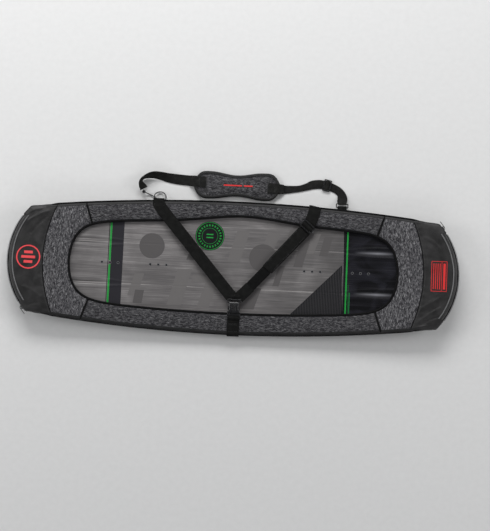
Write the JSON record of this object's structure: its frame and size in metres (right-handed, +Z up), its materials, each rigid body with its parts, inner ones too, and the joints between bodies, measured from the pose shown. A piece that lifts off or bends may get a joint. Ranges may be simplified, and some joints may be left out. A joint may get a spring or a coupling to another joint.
{
  "type": "twin-tip board in a carry sleeve",
  "caption": "Twin-tip ride board packed in a padded open-window carry sleeve with zipped end flaps, a buckled V strap and a padded shoulder strap.",
  "frame": {"origin": "middle of the sleeve's underside at mid length, where it rests on the floor", "axes": "+X along the board towards the end the board is drawn out of, +Y across to the edge that carries the shoulder strap, +Z up"},
  "size_m": [1.4176, 0.523, 0.0679],
  "materials": {
    "board_top": "satin printed laminate, brushed grey, glossy black at one end",
    "board_base": "polished base laminate",
    "wood": "light core wood",
    "rail": "moulded rail",
    "insert": "stainless threaded inserts",
    "heather": "heather grey polyester, fine flecks",
    "black_nylon": "black nylon",
    "lining": "dark lining",
    "foam": "closed-cell padding",
    "webbing": "black ribbed webbing",
    "hard_plastic": "black acetal, semi-gloss",
    "steel": "plated steel",
    "zip": "moulded zip teeth"
  },
  "bodies": {
    "root": {"base_foam": "foam", "base_lining": "lining", "base_outer_panel": "black_nylon", "buckle_housing": "hard_plastic", "buckle_tab_webbing": "webbing", "cap_left": "black_nylon", "cap_right": "black_nylon", "d_ring_tab": "webbing", "edge_piping_far": "black_nylon", "edge_piping_near": "black_nylon", "end_panel_left": "heather", "end_panel_right": "heather", "frame_foam": "foam", "frame_lining": "lining", "gusset_far": "black_nylon", "gusset_near": "black_nylon", "opening_binding": "black_nylon", "ring_tab_right": "webbing", "side_panel_far": "heather", "side_panel_near": "heather", "v_strap_left": "webbing", "v_strap_right": "webbing", "v_strap_tail": "webbing", "v_triglide": "hard_plastic", "zip_lower_left": "zip", "zip_lower_right": "zip"},
    "board": {"board_core": "wood", "board_top_sheet": "board_top", "board_base_sheet": "board_base", "board_rail": "rail", "insert_block_1": "insert", "insert_block_2": "insert", "insert_block_3": "insert", "insert_block_4": "insert"},
    "flap_left": {"flap_left": "black_nylon", "zip_upper_left": "zip"},
    "flap_right": {"flap_right": "black_nylon", "zip_upper_right": "zip"},
    "slider_left": {"zip_slider_left": "steel"},
    "slider_right": {"zip_slider_right": "steel"},
    "pull_left": {"zip_pull_left": "hard_plastic"},
    "pull_right": {"zip_pull_right": "hard_plastic"},
    "tongue": {"buckle_tongue": "hard_plastic"},
    "latch_left": {"latch_arm_left": "hard_plastic"},
    "latch_right": {"latch_arm_right": "hard_plastic"},
    "carry_strap": {"d_ring": "steel", "ring_right": "steel", "snap_hook": "steel", "hook_swivel": "hard_plastic", "shoulder_webbing": "webbing"},
    "gate": {"hook_gate": "steel"},
    "pad": {"pad_backing": "lining", "pad_foam": "foam", "pad_top_cover": "heather", "pad_binding": "black_nylon"},
    "adjuster": {"strap_adjuster": "hard_plastic"}
  },
  "joints": [
    {"name": "board_draw", "type": "hinge", "parent": "root", "child": "board", "pos_m": [0, 0, 6], "axis": [0, -1, 0], "range_deg": [0, 13.6], "deforming": ["gusset_far", "gusset_near", "flap_right", "zip_upper_right"]},
    {"name": "flap_right_fold", "type": "hinge", "parent": "root", "child": "flap_right", "pos_m": [0.63941, 0, 0.06102], "axis": [0, -1, 0], "range_deg": [0, 101]},
    {"name": "flap_left_fold", "type": "hinge", "parent": "root", "child": "flap_left", "pos_m": [-0.63941, 0, 0.06102], "axis": [0, 1, 0], "range_deg": [0, 100]},
    {"name": "zip_run_right", "type": "hinge", "parent": "root", "child": "slider_right", "pos_m": [0.46396, 0, 0.01915], "axis": [0.1114, 0, -0.9938], "range_deg": [0, 77.7]},
    {"name": "zip_run_left", "type": "hinge", "parent": "root", "child": "slider_left", "pos_m": [-0.46396, 0, 0.01915], "axis": [-0.1114, 0, -0.9938], "range_deg": [0, 77.2]},
    {"name": "pull_right_swing", "type": "hinge", "parent": "slider_right", "child": "pull_right", "pos_m": [0.65968, 0.15722, 0.0411], "axis": [0.1114, 0, -0.9938], "range_deg": [0, 150]},
    {"name": "pull_left_swing", "type": "hinge", "parent": "slider_left", "child": "pull_left", "pos_m": [-0.65968, -0.15722, 0.0411], "axis": [-0.1114, 0, -0.9938], "range_deg": [0, 150]},
    {"name": "tongue_slide", "type": "slide", "parent": "root", "child": "tongue", "axis": [0, -1, 0], "range_m": [0, 0.026]},
    {"name": "latch_right_squeeze", "type": "hinge", "parent": "tongue", "child": "latch_right", "pos_m": [0.02246, -0.1412, 0.03252], "axis": [-0.0013, 0, 1], "range_deg": [0, 7]},
    {"name": "latch_left_squeeze", "type": "hinge", "parent": "tongue", "child": "latch_left", "pos_m": [-0.00654, -0.1412, 0.03249], "axis": [0.0013, 0, -1], "range_deg": [0, 7]},
    {"name": "carry_strap_lift", "type": "hinge", "parent": "root", "child": "carry_strap", "pos_m": [0, 0.2085, 0.014], "axis": [1, 0, 0], "range_deg": [0, 85]},
    {"name": "pad_slide", "type": "slide", "parent": "carry_strap", "child": "pad", "axis": [1, 0, 0], "range_m": [-0.025, 0.025]},
    {"name": "adjuster_slide", "type": "slide", "parent": "carry_strap", "child": "adjuster", "axis": [0.9757, -0.219, 0], "range_m": [-0.015, 0.015]},
    {"name": "hook_gate_swing", "type": "hinge", "parent": "carry_strap", "child": "gate", "pos_m": [-0.28057, 0.22609, 0.0149], "axis": [0.3919, 0.92, 0], "range_deg": [0, 20]}
  ],
  "couplings": [
    {"joint": "flap_right_fold", "follows": "board_draw", "ratio": 7.3529},
    {"joint": "zip_run_right", "follows": "board_draw", "ratio": 5.6765}
  ]
}
